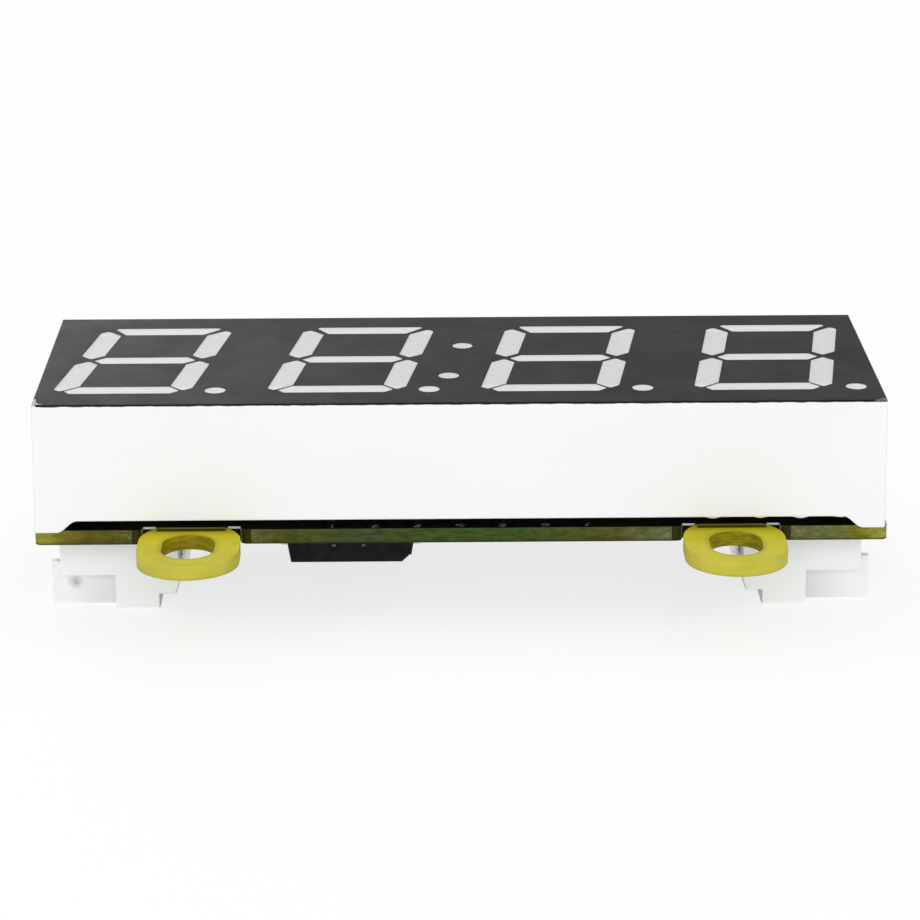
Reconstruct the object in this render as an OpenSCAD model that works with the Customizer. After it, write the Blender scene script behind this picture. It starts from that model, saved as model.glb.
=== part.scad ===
// Four-digit seven segment display module: a moulded LED display on a slim circuit board with
// four slotted ears, a driver chip under the board and a right-angle socket at each end.
// Z is up. The origin is on the surface that the sockets stand on, under the middle of the board.

/* [Display] */
// Width of the display shell at its feet, left to right
display_w = 50.4; // [50:0.1:52]
// Depth of the display shell at its feet, front to back
display_d = 19.0; // [18.8:0.1:21]
// Height of the display shell above the board
display_h = 7.9; // [6.5:0.1:10]
// How far each outer wall leans in between its foot and the face
wall_lean = 0.08; // [0.02:0.01:0.2]
// Thickness of the walls around the rear cavity
shell_wall = 1.0; // [0.8:0.05:1.1]
// Height of the gap under the front and rear walls
wall_gap = 0.72; // [0.5:0.02:1]
// Distance from the middle to where the gap meets the board
gap_reach = 23.9; // [22:0.1:24]
// Thickness of the black face layer
face_t = 0.05; // [0.04:0.01:0.1]

/* [Digits] */
// Distance between the middles of neighbouring digits
digit_pitch = 12.7; // [12.4:0.1:12.8]
// Width of a digit, measured square to its height
digit_w = 8.2; // [7.8:0.1:8.4]
// Height of a digit
digit_h = 14.2; // [13.6:0.1:14.4]
// How far the digits lean to the right, in degrees
slant = 8; // [6:1:10]
// Width of the side, middle and bottom bars
bar_w = 1.4; // [1.1:0.1:1.6]
// Width of the top bar
top_bar_w = 1.5; // [1.1:0.1:1.6]
// Gap between two bars where they meet
bar_gap = 0.34; // [0.2:0.02:0.5]
// Diameter of the points and of the colon's dots
dot_d = 1.25; // [0.9:0.05:1.4]
// Distance between the colon's two dots
colon_spacing = 6.5; // [5.5:0.1:7.5]
// Size of a light well at the LED board, as a share of its size at the face
well_taper = 0.62; // [0.5:0.02:0.8]
// Radius of the bars' corners
bar_corner_r = 0.18; // [0.04:0.02:0.2]

/* [Inside the shell] */
// Thickness of the LED board
led_board_t = 1.0; // [0.8:0.1:1.2]
// Thickness of the back resin
resin_t = 1.0; // [0.6:0.1:1.2]
// Edge length of an LED die
die_w = 0.3; // [0.2:0.05:0.4]

/* [Display pins] */
// Number of pins in each row
pins_per_row = 7; // [5:1:9]
// Distance between neighbouring pins
pin_pitch = 2.54; // [2:0.02:2.54]
// Distance between the two rows
row_spacing = 15.24; // [15:0.02:15.4]
// Diameter of a display pin
pin_d = 0.5; // [0.4:0.05:0.6]
// How far the cut pins stand out under the board
pin_tail = 0.35; // [0.2:0.05:1]

/* [Circuit board] */
// Width of the board, left to right
board_w = 50.7; // [50.5:0.1:53]
// Depth of the board without its ears
board_d = 18.0; // [17.6:0.1:18.6]
// Thickness of the board
board_t = 0.9; // [0.8:0.1:1.6]
// Radius of the board's corners
board_corner_r = 0.4; // [0.2:0.05:0.5]
// Distance between the left and right ears
ear_spacing_x = 32.1; // [30:0.1:33]
// Distance between the front and rear screw slots
ear_spacing_y = 24.1; // [23.6:0.1:25]
// Width of an ear
ear_w = 6.0; // [5.4:0.1:6.4]
// Width of a screw slot
slot_w = 3.1; // [2.2:0.1:3.2]
// Length of a screw slot, front to back
slot_l = 4.2; // [3.6:0.1:4.4]
// How far the notches beside an ear cut into the board
notch_depth = 0.55; // [0.3:0.05:0.6]

/* [Driver chip] */
// Middle of the chip, left to right
chip_x = -6.7; // [-7:0.1:2]
// Front end of the chip body
chip_front_y = -5.5; // [-5.8:0.1:-4.6]
// Width of the chip body
chip_w = 7.6; // [7:0.1:7.6]
// Length of the chip body, front to back
chip_l = 10.3; // [10.1:0.1:11]
// Thickness of the chip body
chip_t = 2.3; // [2:0.1:2.4]
// Width over the tips of the leads
chip_span = 10.3; // [10.1:0.1:10.6]
// Number of leads on each side
leads_per_side = 8; // [6:1:8]

/* [Sockets] */
// Number of contacts in each socket
contacts = 5; // [3:1:5]
// Distance between neighbouring contacts
contact_pitch = 2.0; // [2:0.1:2]
// Height of a socket housing
socket_h = 5.1; // [4.8:0.1:5.4]
// Length of a socket housing, from its mouth to its rear face
socket_l = 7.8; // [7.6:0.05:8.2]
// Distance from the middle of the board to each mouth
socket_reach = 24.85; // [24.6:0.05:25.2]
// How far the grooves beside the mouth are sunk into the housing
socket_groove = 0.9; // [0.7:0.05:1.15]
// Thickness across a square contact pin
contact_t = 0.5; // [0.4:0.05:0.6]

/* [Hidden] */
$fn = 48;
eps = 0.01;                       // overshoot of a cutting solid

board_z = socket_h;               // underside of the board
board_top = board_z + board_t;
face_z = board_top + display_h;   // top of the black face
shell_top = face_z - face_t;
pad_t = 0.04;                     // thickness of the copper

display_x = -0.08;                // the display sits a little left of the board's middle

// The display's own layers, from the board up
resin_z = board_top + wall_gap + 0.2;
led_board_z = resin_z + resin_t;
well_z = led_board_z + led_board_t;
cavity_w = display_w - 2 * shell_wall;
cavity_d = display_d - 2 * shell_wall;

// Digits
digit_count = 4;
digits_mid = display_x - 0.08;    // the row of digits sits a little left of the shell's middle
digit_x = [for (i = [0 : digit_count - 1]) (i - (digit_count - 1) / 2) * digit_pitch + digits_mid];
half_w = digit_w / 2;
half_h = digit_h / 2;
middle_drop = 0.1;                // the middle bar sits a little below the digit's centre
point_at = [half_w + 1.45, 0.55 - half_h]; // a digit's point, upright, from the digit's middle
colon_at = [digits_mid, -0.5];    // middle of the colon

function lean(p) = [p[0] + p[1] * tan(slant), p[1]];
function lean_all(points) = [for (p = points) lean(p)];
function mean(points) = [for (k = [0, 1]) sum([for (p = points) p[k]]) / len(points)];
function sum(v, i = 0) = i == len(v) ? 0 : v[i] + sum(v, i + 1);

// ---- Digits: outlines of the seven bars, upright, from the digit's middle ----

corner = bar_gap * sqrt(2) / 2;   // half a gap, measured along a bar's edge

// Right side bar, upper half: a pointed foot, and a head cut at 45 degrees under the top bar,
// whose outer corner loses a piece of the size "cut"
function side_bar(cap_w, cut) = let(outer = half_w, inner = half_w - bar_w, mid = half_w - bar_w / 2,
                                    foot = corner, head = half_h - cap_w - corner + 0.1, top = head + 0.95)
    [[mid, foot], [outer, foot + bar_w / 2], [outer, top - cut[1]], [outer - cut[0], top],
     [outer - 0.5, top], [inner, head], [inner, foot + bar_w / 2]];

// Top bar: short upright ends, and long cuts over the heads of the side bars
function top_bar() = let(end = half_w - 0.84, cut = 0.84, end_h = 0.3, low = half_h - top_bar_w)
    [[-end, half_h], [end, half_h], [end, half_h - end_h], [end - cut, low], [cut - end, low],
     [-end, half_h - end_h]];

// Bottom bar: a point at each end, nearer to its lower edge
function bottom_bar() = let(tip = half_w - 0.66, tip_y = 0.55 - half_h, top = bar_w - half_h,
                            upper_cut = 0.75, lower_cut = 0.45)
    [[-tip, tip_y], [upper_cut - tip, top], [tip - upper_cut, top], [tip, tip_y],
     [tip - lower_cut, -half_h], [lower_cut - tip, -half_h]];

// Middle bar: a point at each end
function middle_bar() = let(tip = half_w - bar_w / 2 - corner - 0.05, half = bar_w / 2 - 0.02, cut = 0.62)
    [[-tip, 0], [cut - tip, half], [tip - cut, half], [tip, 0], [tip - cut, -half], [cut - tip, -half]];

function flip_x(points) = [for (p = points) [-p[0], p[1]]];
function flip_y(points) = [for (p = points) [p[0], -p[1]]];
function shift_y(points, dy) = [for (p = points) [p[0], p[1] + dy]];

bars = [for (outline = [
    top_bar(), side_bar(top_bar_w, [0.3, 0.32]), flip_y(side_bar(bar_w, [0.45, 0.55])), bottom_bar(),
    flip_x(flip_y(side_bar(bar_w, [0.36, 0.32]))), flip_x(side_bar(top_bar_w, [0.3, 0.32])),
    shift_y(middle_bar(), -middle_drop)
]) lean_all(outline)];

dot_centres = concat(
    [for (x = digit_x) [x, 0] + lean(point_at)],
    [for (side = [1, -1]) [colon_at[0], 0] + lean([0, colon_at[1] + side * colon_spacing / 2])]);
colon_first = digit_count;        // the colon's dots come after the digits' points

// Light well of one bar: full size at top_z, narrower towards the LED board
module bar_well(outline, top_z) {
    middle = mean(outline);
    translate([middle[0], middle[1], top_z]) mirror([0, 0, 1])
        linear_extrude(height = top_z - well_z, scale = well_taper)
            offset(r = bar_corner_r, $fn = 20) offset(delta = -bar_corner_r)
                polygon([for (p = outline) p - middle]);
}

module dot_well(centre, top_z)
    translate([centre[0], centre[1], well_z])
        cylinder(h = top_z - well_z, d1 = dot_d * well_taper, d2 = dot_d);

module die(centre)
    translate([centre[0] - die_w / 2, centre[1] - die_w / 2, well_z])
        cube([die_w, die_w, die_w * 2 / 3]);

// The resin of one bar, cast around its LED die
module light_bar(outline) {
    difference() {
        bar_well(outline, face_z);
        die(mean(outline));
    }
}

module digit(i)
    color("whitesmoke") translate([digit_x[i], 0, 0])
        for (outline = bars) light_bar(outline);

module light_dots(centres)
    color("whitesmoke")
        for (c = centres)
            difference() {
                dot_well(c, face_z);
                die(c);
            }

module digit_1() digit(0);
module digit_2() digit(1);
module digit_3() digit(2);
module digit_4() digit(3);
module decimal_points() light_dots([for (i = [0 : colon_first - 1]) dot_centres[i]]);
module colon_dots() light_dots([for (i = [colon_first : len(dot_centres) - 1]) dot_centres[i]]);

module led_dice()
    color("gold") {
        for (x = digit_x, outline = bars) translate([x, 0, 0]) die(mean(outline));
        for (c = dot_centres) die(c);
    }

// ---- Display shell and what closes it ----

// A block with upright centre, whose four sides lean in by the same amount
module leaning_block(w, d, h, lean_in)
    linear_extrude(height = h, scale = [1 - 2 * lean_in / w, 1 - 2 * lean_in / d], slices = 1)
        square([w, d], center = true);

// Side view of the gap under a long wall: it curves down to the feet at both ends
module gap_outline() {
    curve_w = 1.2;
    steps = 6;
    curve = [for (i = [0 : steps])
        let(t = i / steps) [gap_reach - curve_w * t, wall_gap * (1 - cos(180 * t)) / 2]];
    polygon(concat([[gap_reach, -1]], curve,
        [for (i = [steps : -1 : 0]) [-curve[i][0], curve[i][1]]], [[-gap_reach, -1]]));
}

// Hollow between the bars of one loop, so that the moulding has walls of even thickness
module loop_core(low, high) {
    rib = 1.0;
    side = half_w - bar_w - rib;
    roof = 1.2;
    translate([0, 0, well_z - eps]) linear_extrude(height = shell_top - roof - well_z)
        polygon(lean_all([[-side, low], [side, low], [side, high], [-side, high]]));
}

// A block that fills the cavity from side to side
module cavity_block(z, h)
    translate([display_x - cavity_w / 2, -cavity_d / 2, z]) cube([cavity_w, cavity_d, h]);

module display_shell() {
    rib = 1.0;
    loop_in = bar_w / 2 + rib;
    loop_out = half_h - top_bar_w - rib;
    color("white")
    difference() {
        translate([display_x, 0, board_top])
            leaning_block(display_w, display_d, display_h - face_t, wall_lean);
        cavity_block(board_top - 1, well_z - board_top + 1);
        translate([display_x, display_d, board_top]) rotate([90, 0, 0])
            linear_extrude(height = 2 * display_d) gap_outline();
        for (x = digit_x) translate([x, 0, 0]) {
            for (outline = bars) bar_well(outline, face_z);
            loop_core(loop_in, loop_out);
            loop_core(-loop_out, -loop_in);
        }
        for (c = dot_centres) dot_well(c, face_z);
    }
}

module face_layer() {
    rim = wall_lean + 0.03;       // bare white rim around the face
    w = display_w - 2 * rim;
    d = display_d - 2 * rim;
    color("#3c3c3c")
    difference() {
        translate([display_x - w / 2, -d / 2, shell_top]) cube([w, d, face_t]);
        for (x = digit_x) translate([x, 0, 0])
            for (outline = bars) bar_well(outline, face_z);
        for (c = dot_centres) dot_well(c, face_z);
    }
}

pin_xs = [for (i = [0 : pins_per_row - 1]) display_x + (i - (pins_per_row - 1) / 2) * pin_pitch];
pin_rows = [-row_spacing / 2, row_spacing / 2];

// One upright cylinder at each display pin
module at_display_pins(z, h, d, rows = pin_rows)
    for (x = pin_xs, y = rows) translate([x, y, z]) cylinder(h = h, d = d);

module led_board()
    color("darkseagreen")
    difference() {
        cavity_block(led_board_z, led_board_t);
        at_display_pins(led_board_z - 1, led_board_t + 2, pin_d);
    }

module back_resin()
    color("gainsboro")
    difference() {
        cavity_block(resin_z, resin_t);
        at_display_pins(resin_z - 1, resin_t + 2, pin_d);
    }

module pin_row(y)
    color("silver")
        at_display_pins(board_z - pin_tail, well_z - board_z + pin_tail, pin_d, [y]);

module front_pins() pin_row(pin_rows[0]);
module rear_pins() pin_row(pin_rows[1]);

// ---- Circuit board ----

pin_hole_d = 0.8;
tail_gap = 0.3;                   // from a housing's rear face to the middle of its contact tails
contact_x = socket_reach - socket_l - tail_gap;
contact_ys = [for (i = [0 : contacts - 1]) (i - (contacts - 1) / 2) * contact_pitch];
ear_x = ear_spacing_x / 2;
ear_y = ear_spacing_y / 2;

module rounded_rect(x0, x1, y0, y1, r) {
    translate([x0 + r, y0]) square([x1 - x0 - 2 * r, y1 - y0]);
    translate([x0, y0 + r]) square([x1 - x0, y1 - y0 - 2 * r]);
    for (x = [x0 + r, x1 - r], y = [y0 + r, y1 - r]) translate([x, y]) circle(r = r);
}

// Strips along the front edge, between and beside the two notched ears
module edge_strips() {
    notch = ear_w / 2 - 0.1;
    cut = board_d / 2 - notch_depth;
    r = board_corner_r;
    half = board_w / 2;
    rounded_rect(-half, -ear_x - notch, -board_d / 2, r - cut, r);
    rounded_rect(-ear_x + notch, ear_x - notch, -board_d / 2, r - cut, r);
    rounded_rect(ear_x + notch, half, -board_d / 2, r - cut, r);
}

// One ear, in front of the board, with its screw slot cut later
module ear() {
    r = ear_w / 2;
    tip_y = -ear_y - 0.35;
    root_y = 1.2 - ear_y;
    translate([0, tip_y]) circle(r = r);
    translate([0, root_y]) circle(r = r);
    translate([-r, tip_y]) square([ear_w, root_y - tip_y]);
}

module slot() {
    straight = slot_l - slot_w;
    for (y = [-1, 1]) translate([0, -ear_y + y * straight / 2]) circle(d = slot_w);
    translate([-slot_w / 2, -ear_y - straight / 2]) square([slot_w, straight]);
}

module board_outline() {
    cut = board_d / 2 - notch_depth;
    translate([-board_w / 2, -cut]) square([board_w, 2 * cut]);
    for (flip = [0, 1]) mirror([0, flip, 0]) {
        edge_strips();
        for (side = [-1, 1]) translate([side * ear_x, 0]) ear();
    }
}

module at_contact_tails()
    for (side = [-1, 1], y = contact_ys) translate([side * contact_x, y, 0]) children();

module circuit_board()
    color("#4d5d2a")
    difference() {
        translate([0, 0, board_z]) linear_extrude(height = board_t) board_outline();
        translate([0, 0, board_z - 1]) linear_extrude(height = board_t + 2)
            for (flip = [0, 1], side = [-1, 1])
                mirror([0, flip, 0]) translate([side * ear_x, 0]) slot();
        at_display_pins(board_z - 1, board_t + 2, pin_hole_d);
        at_contact_tails() translate([0, 0, board_z - 1]) cylinder(h = board_t + 2, d = pin_hole_d);
    }

// ---- Parts soldered under the board ----

// Middles of the chip parts: [x, y, turn], on free ground between the chip and the sockets
capacitor_places = [[1.6, 2.6, 90], [1.6, -2.6, 90], [-14.0, 0, 90]];
resistor_places = [[5.6, -3.2, 0], [5.6, -1.2, 0], [10.0, -3.2, 0], [10.0, -1.2, 0]];
small_l = 1.6;                    // length of a small two-ended part
small_w = 0.8;
small_end = 0.3;                  // length of its metal cap
capacitor_h = 0.8;
resistor_h = 0.45;

module at_places(places)
    for (p = places) translate([p[0], p[1], board_z - pad_t]) rotate(p[2]) children();

module small_body(h)
    translate([-small_l / 2 + small_end, -small_w / 2, -h]) cube([small_l - 2 * small_end, small_w, h]);

module small_caps(h)
    for (side = [-1, 1])
        translate([side * (small_l - small_end) / 2 - small_end / 2, -small_w / 2, -h])
            cube([small_end, small_w, h]);

module capacitor_bodies() color("#b59a6b") at_places(capacitor_places) small_body(capacitor_h);
module capacitor_ends() color("silver") at_places(capacitor_places) small_caps(capacitor_h);
module resistor_bodies() color("#202020") at_places(resistor_places) small_body(resistor_h);
module resistor_ends() color("silver") at_places(resistor_places) small_caps(resistor_h);

chip_y = chip_front_y + chip_l / 2;
chip_standoff = 0.17;
chip_top = board_z - pad_t - chip_standoff;   // the face of the chip that looks at the board
lead_pitch = 1.27;
lead_w = 0.41;
lead_t = 0.25;
lead_inset = 0.25;                            // how far a lead reaches into the body
lead_z = chip_top - chip_t / 2;               // middle of the lead frame, at the chip's mould line
lead_ys = [for (i = [0 : leads_per_side - 1]) chip_y + (i - (leads_per_side - 1) / 2) * lead_pitch];

// Quarter ring in the plane, with its centre at the origin, in the quadrant turned by "turn"
module bend(inner, turn)
    rotate(turn) intersection() {
        difference() {
            circle(r = inner + lead_t, $fn = 32);
            circle(r = inner, $fn = 32);
        }
        square(inner + lead_t + 1);
    }

// Side view of a gull-wing lead: out of the body at mid height, up to the board, then outwards
module lead_outline() {
    r = 0.15;
    body_x = chip_w / 2 - lead_inset;
    leg_x = chip_span / 2 - 0.95;
    foot_z = board_z - pad_t;
    translate([body_x, lead_z - lead_t / 2]) square([leg_x - r - body_x, lead_t]);
    translate([leg_x - r, lead_z + lead_t / 2 + r]) bend(r, -90);
    translate([leg_x, lead_z + lead_t / 2 + r]) square([lead_t, foot_z - lead_z - 1.5 * lead_t - 2 * r]);
    translate([leg_x + lead_t + r, foot_z - lead_t - r]) bend(r, 90);
    translate([leg_x + lead_t + r, foot_z - lead_t]) square([chip_span / 2 - leg_x - lead_t - r, lead_t]);
}

module all_leads()
    for (side = [0, 1], y = lead_ys)
        translate([chip_x, y, 0]) mirror([side, 0, 0])
            translate([0, lead_w / 2, 0]) rotate([90, 0, 0])
                linear_extrude(height = lead_w) lead_outline();

// Moulded body: two halves that lean in from the mould line, with a bevel along the pin 1 side
module driver_body() {
    half = chip_t / 2;
    lean_in = half * tan(9);
    bevel = 0.5;
    dimple_r = 0.5;
    color("#1b1b1b")
    difference() {
        translate([chip_x, chip_y, lead_z]) {
            leaning_block(chip_w, chip_l, half, lean_in);
            mirror([0, 0, 1]) leaning_block(chip_w, chip_l, half, lean_in);
        }
        translate([chip_x + chip_w / 2 - lean_in, chip_y, lead_z - half])
            rotate([0, 45, 0]) cube([bevel * sqrt(2), chip_l + 2, bevel * sqrt(2)], center = true);
        translate([chip_x + chip_w / 2 - 1.6, chip_front_y + 1.4, lead_z - half - 1])
            cylinder(h = 1.1, r = dimple_r);
        for (side = [0, 1], y = lead_ys) translate([chip_x, y, lead_z]) mirror([side, 0, 0])
            translate([chip_w / 2 - lead_inset, -lead_w / 2, -lead_t / 2]) cube([1, lead_w, lead_t]);
    }
}

module driver_leads() color("silver") all_leads();

// ---- Copper and solder ----

pad_d = 1.4;
module ring(z) translate([0, 0, z]) difference() {
    cylinder(h = pad_t, d = pad_d);
    translate([0, 0, -1]) cylinder(h = 2, d = pin_hole_d);
}

module land(x, y, w, d) translate([x - w / 2, y - d / 2, board_z - pad_t]) cube([w, d, pad_t]);

module copper_pads() {
    color("gold") {
        for (x = pin_xs, y = pin_rows, z = [board_z - pad_t, board_top]) translate([x, y, 0]) ring(z);
        at_contact_tails() {
            ring(board_z - pad_t);
            ring(board_top);
        }
        for (side = [-1, 1], y = lead_ys) land(chip_x + side * (chip_span / 2 - 0.35), y, 1.3, 0.6);
        for (p = capacitor_places, side = [-1, 1])
            land(p[0] + side * small_l / 2 * cos(p[2]), p[1] + side * small_l / 2 * sin(p[2]), 0.9, 0.9);
        for (p = resistor_places, side = [-1, 1])
            land(p[0] + side * small_l / 2 * cos(p[2]), p[1] + side * small_l / 2 * sin(p[2]), 0.9, 0.9);
    }
}

module display_pin_solder()
    color("gainsboro")
        for (x = pin_xs, y = pin_rows)
            translate([x, y, board_z - pad_t]) mirror([0, 0, 1]) difference() {
                cylinder(h = pin_tail - pad_t, d1 = pad_d - 0.1, d2 = pin_d + 0.3);
                translate([0, 0, -1]) cylinder(h = 3, d = pin_d);
            }

module socket_pin_solder() {
    joint_h = 0.45;
    color("gainsboro")
        at_contact_tails() translate([0, 0, board_top + pad_t]) difference() {
            cylinder(h = joint_h, d1 = pad_d - 0.1, d2 = contact_t + 0.4);
            translate([-contact_t / 2, -contact_t / 2, -1]) cube([contact_t, contact_t, 3]);
        }
}

// ---- Sockets: modelled with the mouth at x = 0, facing left ----

socket_w = contact_pitch * (contacts - 1) + 4.0;
contact_z = 2.4;                  // middle of the contacts above the socket's underside
floor_t = 0.6;
roof_t = 0.7;
side_t = 0.5;
tail_x = socket_l + tail_gap;
groove_l = 3.9;
groove_z = socket_h - 3;          // the grooves end this far above the underside
lip_l = 0.6;                      // the lower part of the mouth stands this far forward
lip_z = socket_h - 2.4;
cavity_l = 6.3;

// Side view of the housing, with a step and a slanted corner at the rear, and clear of the pads
// around its contact tails
module socket_profile() {
    step_l = 1.22;
    step_h = 0.85;
    slant_l = 0.25;
    slant_h = 0.75;
    relief_l = 0.6;
    relief_h = 0.1;
    polygon([
        [lip_l, 0], [socket_l - step_l, 0], [socket_l - step_l, step_h],
        [socket_l - slant_l, step_h], [socket_l, step_h + slant_h],
        [socket_l, socket_h - relief_h], [socket_l - relief_l, socket_h - relief_h],
        [socket_l - relief_l, socket_h], [lip_l, socket_h]
    ]);
}

module contact_row() {
    tip_l = 0.3;
    tip_x = 1.6;
    bend_r = 0.4;
    half = contact_t / 2;
    tail_top = board_top + 0.6;
    for (y = contact_ys) translate([0, y, 0]) {
        translate([tip_x + tip_l, 0, contact_z]) rotate([0, -90, 0])
            linear_extrude(height = tip_l, scale = 0.5) square(contact_t, center = true);
        translate([tip_x + tip_l, -half, contact_z - half])
            cube([tail_x - bend_r - tip_x - tip_l, contact_t, contact_t]);
        translate([tail_x - bend_r, half, contact_z + bend_r]) rotate([90, 0, 0])
            linear_extrude(height = contact_t) intersection() {
                difference() {
                    circle(r = bend_r + half, $fn = 32);
                    circle(r = bend_r - half, $fn = 32);
                }
                translate([0, -bend_r - half]) square(bend_r + half);
            }
        translate([tail_x - half, -half, contact_z + bend_r])
            cube([contact_t, contact_t, tail_top - contact_z - bend_r]);
    }
}

module socket_housing() {
    grooved_w = socket_w - 2 * socket_groove;
    inner_w = grooved_w - 2 * side_t;
    upper_w = socket_w - 2 * 0.6;
    upper_z = groove_z + 0.4;
    mark_r = 0.16;
    mark_depth = 0.35;
    difference() {
        union() {
            translate([0, socket_w / 2, 0]) rotate([90, 0, 0])
                linear_extrude(height = socket_w) socket_profile();
            translate([0, -grooved_w / 2, 0]) cube([lip_l, grooved_w, lip_z]);
        }
        // Grooves along both sides of the mouth
        for (side = [-1, 1])
            translate([-1, side * socket_w / 2 - (side > 0 ? socket_groove : 1), -1])
                cube([groove_l + 1, socket_groove + 1, groove_z + 1]);
        // Cavity: narrow between the grooves, wide above them
        translate([-1, -inner_w / 2, floor_t]) cube([cavity_l + 1, inner_w, socket_h - roof_t - floor_t]);
        translate([lip_l, -upper_w / 2, upper_z])
            cube([cavity_l - lip_l, upper_w, socket_h - roof_t - upper_z]);
        // Small mark on the side of contact 1
        translate([1.5, -grooved_w / 2 + mark_depth, groove_z - 0.75]) rotate([90, 0, 0])
            cylinder(h = 1, r = mark_r);
        contact_row();
    }
}

module place_left() translate([-socket_reach, 0, 0]) children();
module place_right() rotate(180) place_left() children();

module left_socket() color("#efefef") place_left() socket_housing();
module left_contacts() color("silver") place_left() contact_row();
module right_socket() color("#efefef") place_right() socket_housing();
module right_contacts() color("silver") place_right() contact_row();

display_shell();
face_layer();
digit_1();
digit_2();
digit_3();
digit_4();
decimal_points();
colon_dots();
led_board();
led_dice();
back_resin();
front_pins();
rear_pins();
circuit_board();
copper_pads();
driver_body();
driver_leads();
capacitor_bodies();
capacitor_ends();
resistor_bodies();
resistor_ends();
display_pin_solder();
socket_pin_solder();
left_socket();
left_contacts();
right_socket();
right_contacts();
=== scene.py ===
from math import cos, hypot, pi, radians, sin

import bpy
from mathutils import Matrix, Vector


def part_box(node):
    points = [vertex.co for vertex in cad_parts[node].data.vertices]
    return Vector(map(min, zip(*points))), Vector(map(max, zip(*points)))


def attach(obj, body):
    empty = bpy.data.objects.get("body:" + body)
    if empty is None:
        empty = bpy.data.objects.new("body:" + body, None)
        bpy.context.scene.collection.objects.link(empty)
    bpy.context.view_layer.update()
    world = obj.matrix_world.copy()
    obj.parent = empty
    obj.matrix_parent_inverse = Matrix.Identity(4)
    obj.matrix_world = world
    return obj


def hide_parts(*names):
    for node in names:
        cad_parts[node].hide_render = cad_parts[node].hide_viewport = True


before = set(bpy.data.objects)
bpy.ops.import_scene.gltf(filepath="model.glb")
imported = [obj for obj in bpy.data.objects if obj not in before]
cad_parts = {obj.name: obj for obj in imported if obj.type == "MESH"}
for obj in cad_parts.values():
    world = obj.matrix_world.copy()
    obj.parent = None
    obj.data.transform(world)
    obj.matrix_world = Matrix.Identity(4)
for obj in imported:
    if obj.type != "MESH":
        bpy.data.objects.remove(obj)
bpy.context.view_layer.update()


# --- White shell of the display -------------------------------------------------------
# One injection moulding in white polycarbonate, with a tapered light well for every bar and
# point. Its two feet stand on the board, and its outer edges are broken by the mould's radius.

MM = 0.001               # pieces are shaped in millimetres and brought to metres when finished

shell_low, shell_high = (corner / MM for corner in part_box("display_shell"))
display_x = (shell_low.x + shell_high.x) / 2     # the display stands a little left of the board
shell_edge_r = 0.09
edge_depth = 0.5         # edges nearer to the outside than this belong to the outer form


def pick(piece):
    """Select this piece alone."""
    bpy.ops.object.select_all(action="DESELECT")
    piece.select_set(True)
    bpy.context.view_layer.objects.active = piece


def edit(piece, select="SELECT"):
    """Open this piece alone for editing, with all of it selected or, for DESELECT, none of it."""
    pick(piece)
    bpy.ops.object.mode_set(mode="EDIT")
    bpy.ops.mesh.select_all(action=select)


def edit_faces(piece, wanted):
    """Open this piece for editing, with the faces selected for which wanted(centre, normal) holds."""
    edit(piece, "DESELECT")
    bpy.ops.mesh.select_mode(type="FACE")
    bpy.ops.object.mode_set(mode="OBJECT")
    for face in piece.data.polygons:
        face.select = bool(wanted(face.center, face.normal))
    bpy.ops.object.mode_set(mode="EDIT")


def keep_edges(piece, wanted):
    """In edit mode, keep only those edges selected whose middle satisfies wanted(middle)."""
    bpy.ops.object.mode_set(mode="OBJECT")
    points = piece.data.vertices
    kept = [
        edge.index for edge in piece.data.edges
        if edge.select and wanted((points[edge.vertices[0]].co + points[edge.vertices[1]].co) / 2)
    ]
    bpy.ops.object.mode_set(mode="EDIT")
    bpy.ops.mesh.select_all(action="DESELECT")
    bpy.ops.object.mode_set(mode="OBJECT")
    for index in kept:
        piece.data.edges[index].select = True
    bpy.ops.object.mode_set(mode="EDIT")


def round_edges(piece, radius, wanted=None, steps=2):
    """Round the sharp edges, or only those whose middle satisfies wanted(middle)."""
    edit(piece, "DESELECT")
    bpy.ops.mesh.select_mode(type="EDGE")
    bpy.ops.mesh.edges_select_sharp(sharpness=radians(32))
    if wanted:
        keep_edges(piece, wanted)
    bpy.ops.mesh.bevel(offset=radius, segments=steps, profile=0.5, clamp_overlap=True)
    bpy.ops.object.mode_set(mode="OBJECT")


def close_seams(piece, reach=0.002):
    """Merge the points that lie together, so that the piece's seams are closed."""
    edit(piece)
    bpy.ops.mesh.remove_doubles(threshold=reach)
    bpy.ops.object.mode_set(mode="OBJECT")


def turn_outwards(piece):
    """Turn all of the piece's faces to its outside."""
    edit(piece)
    bpy.ops.mesh.normals_make_consistent(inside=False)
    bpy.ops.object.mode_set(mode="OBJECT")


def moulded_copy(node, name, radius=0.0, wanted=None, steps=2):
    """A copy of a node's form, in millimetres, with its sharp edges rounded if a radius is given."""
    piece = bpy.data.objects.new(name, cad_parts[node].data.copy())
    bpy.context.scene.collection.objects.link(piece)
    pick(piece)
    piece.data.materials.clear()
    piece.scale = (1 / MM, 1 / MM, 1 / MM)
    bpy.ops.object.transform_apply(location=False, rotation=False, scale=True)
    close_seams(piece)
    edit(piece)
    bpy.ops.mesh.dissolve_limited(angle_limit=radians(0.5))
    bpy.ops.object.mode_set(mode="OBJECT")
    if radius:
        round_edges(piece, radius, wanted, steps)
    return piece


def fit(piece, finish, stands_for=()):
    """Bring a shaped piece to its true size, give it its finish and fix it to the module."""
    pick(piece)
    bpy.ops.object.transform_apply(location=True, rotation=True, scale=True)
    piece.scale = (MM, MM, MM)
    bpy.ops.object.transform_apply(location=False, rotation=False, scale=True)
    bpy.ops.object.shade_smooth_by_angle(angle=radians(35))
    bpy.ops.object.modifier_add(type="WEIGHTED_NORMAL")
    piece.modifiers[-1].keep_sharp = True
    bpy.ops.object.modifier_apply(modifier=piece.modifiers[-1].name)
    piece.data.materials.clear()
    piece.data.materials.append(finish)
    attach(piece, "root")
    if stands_for:
        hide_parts(*stands_for)
    return piece


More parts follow.
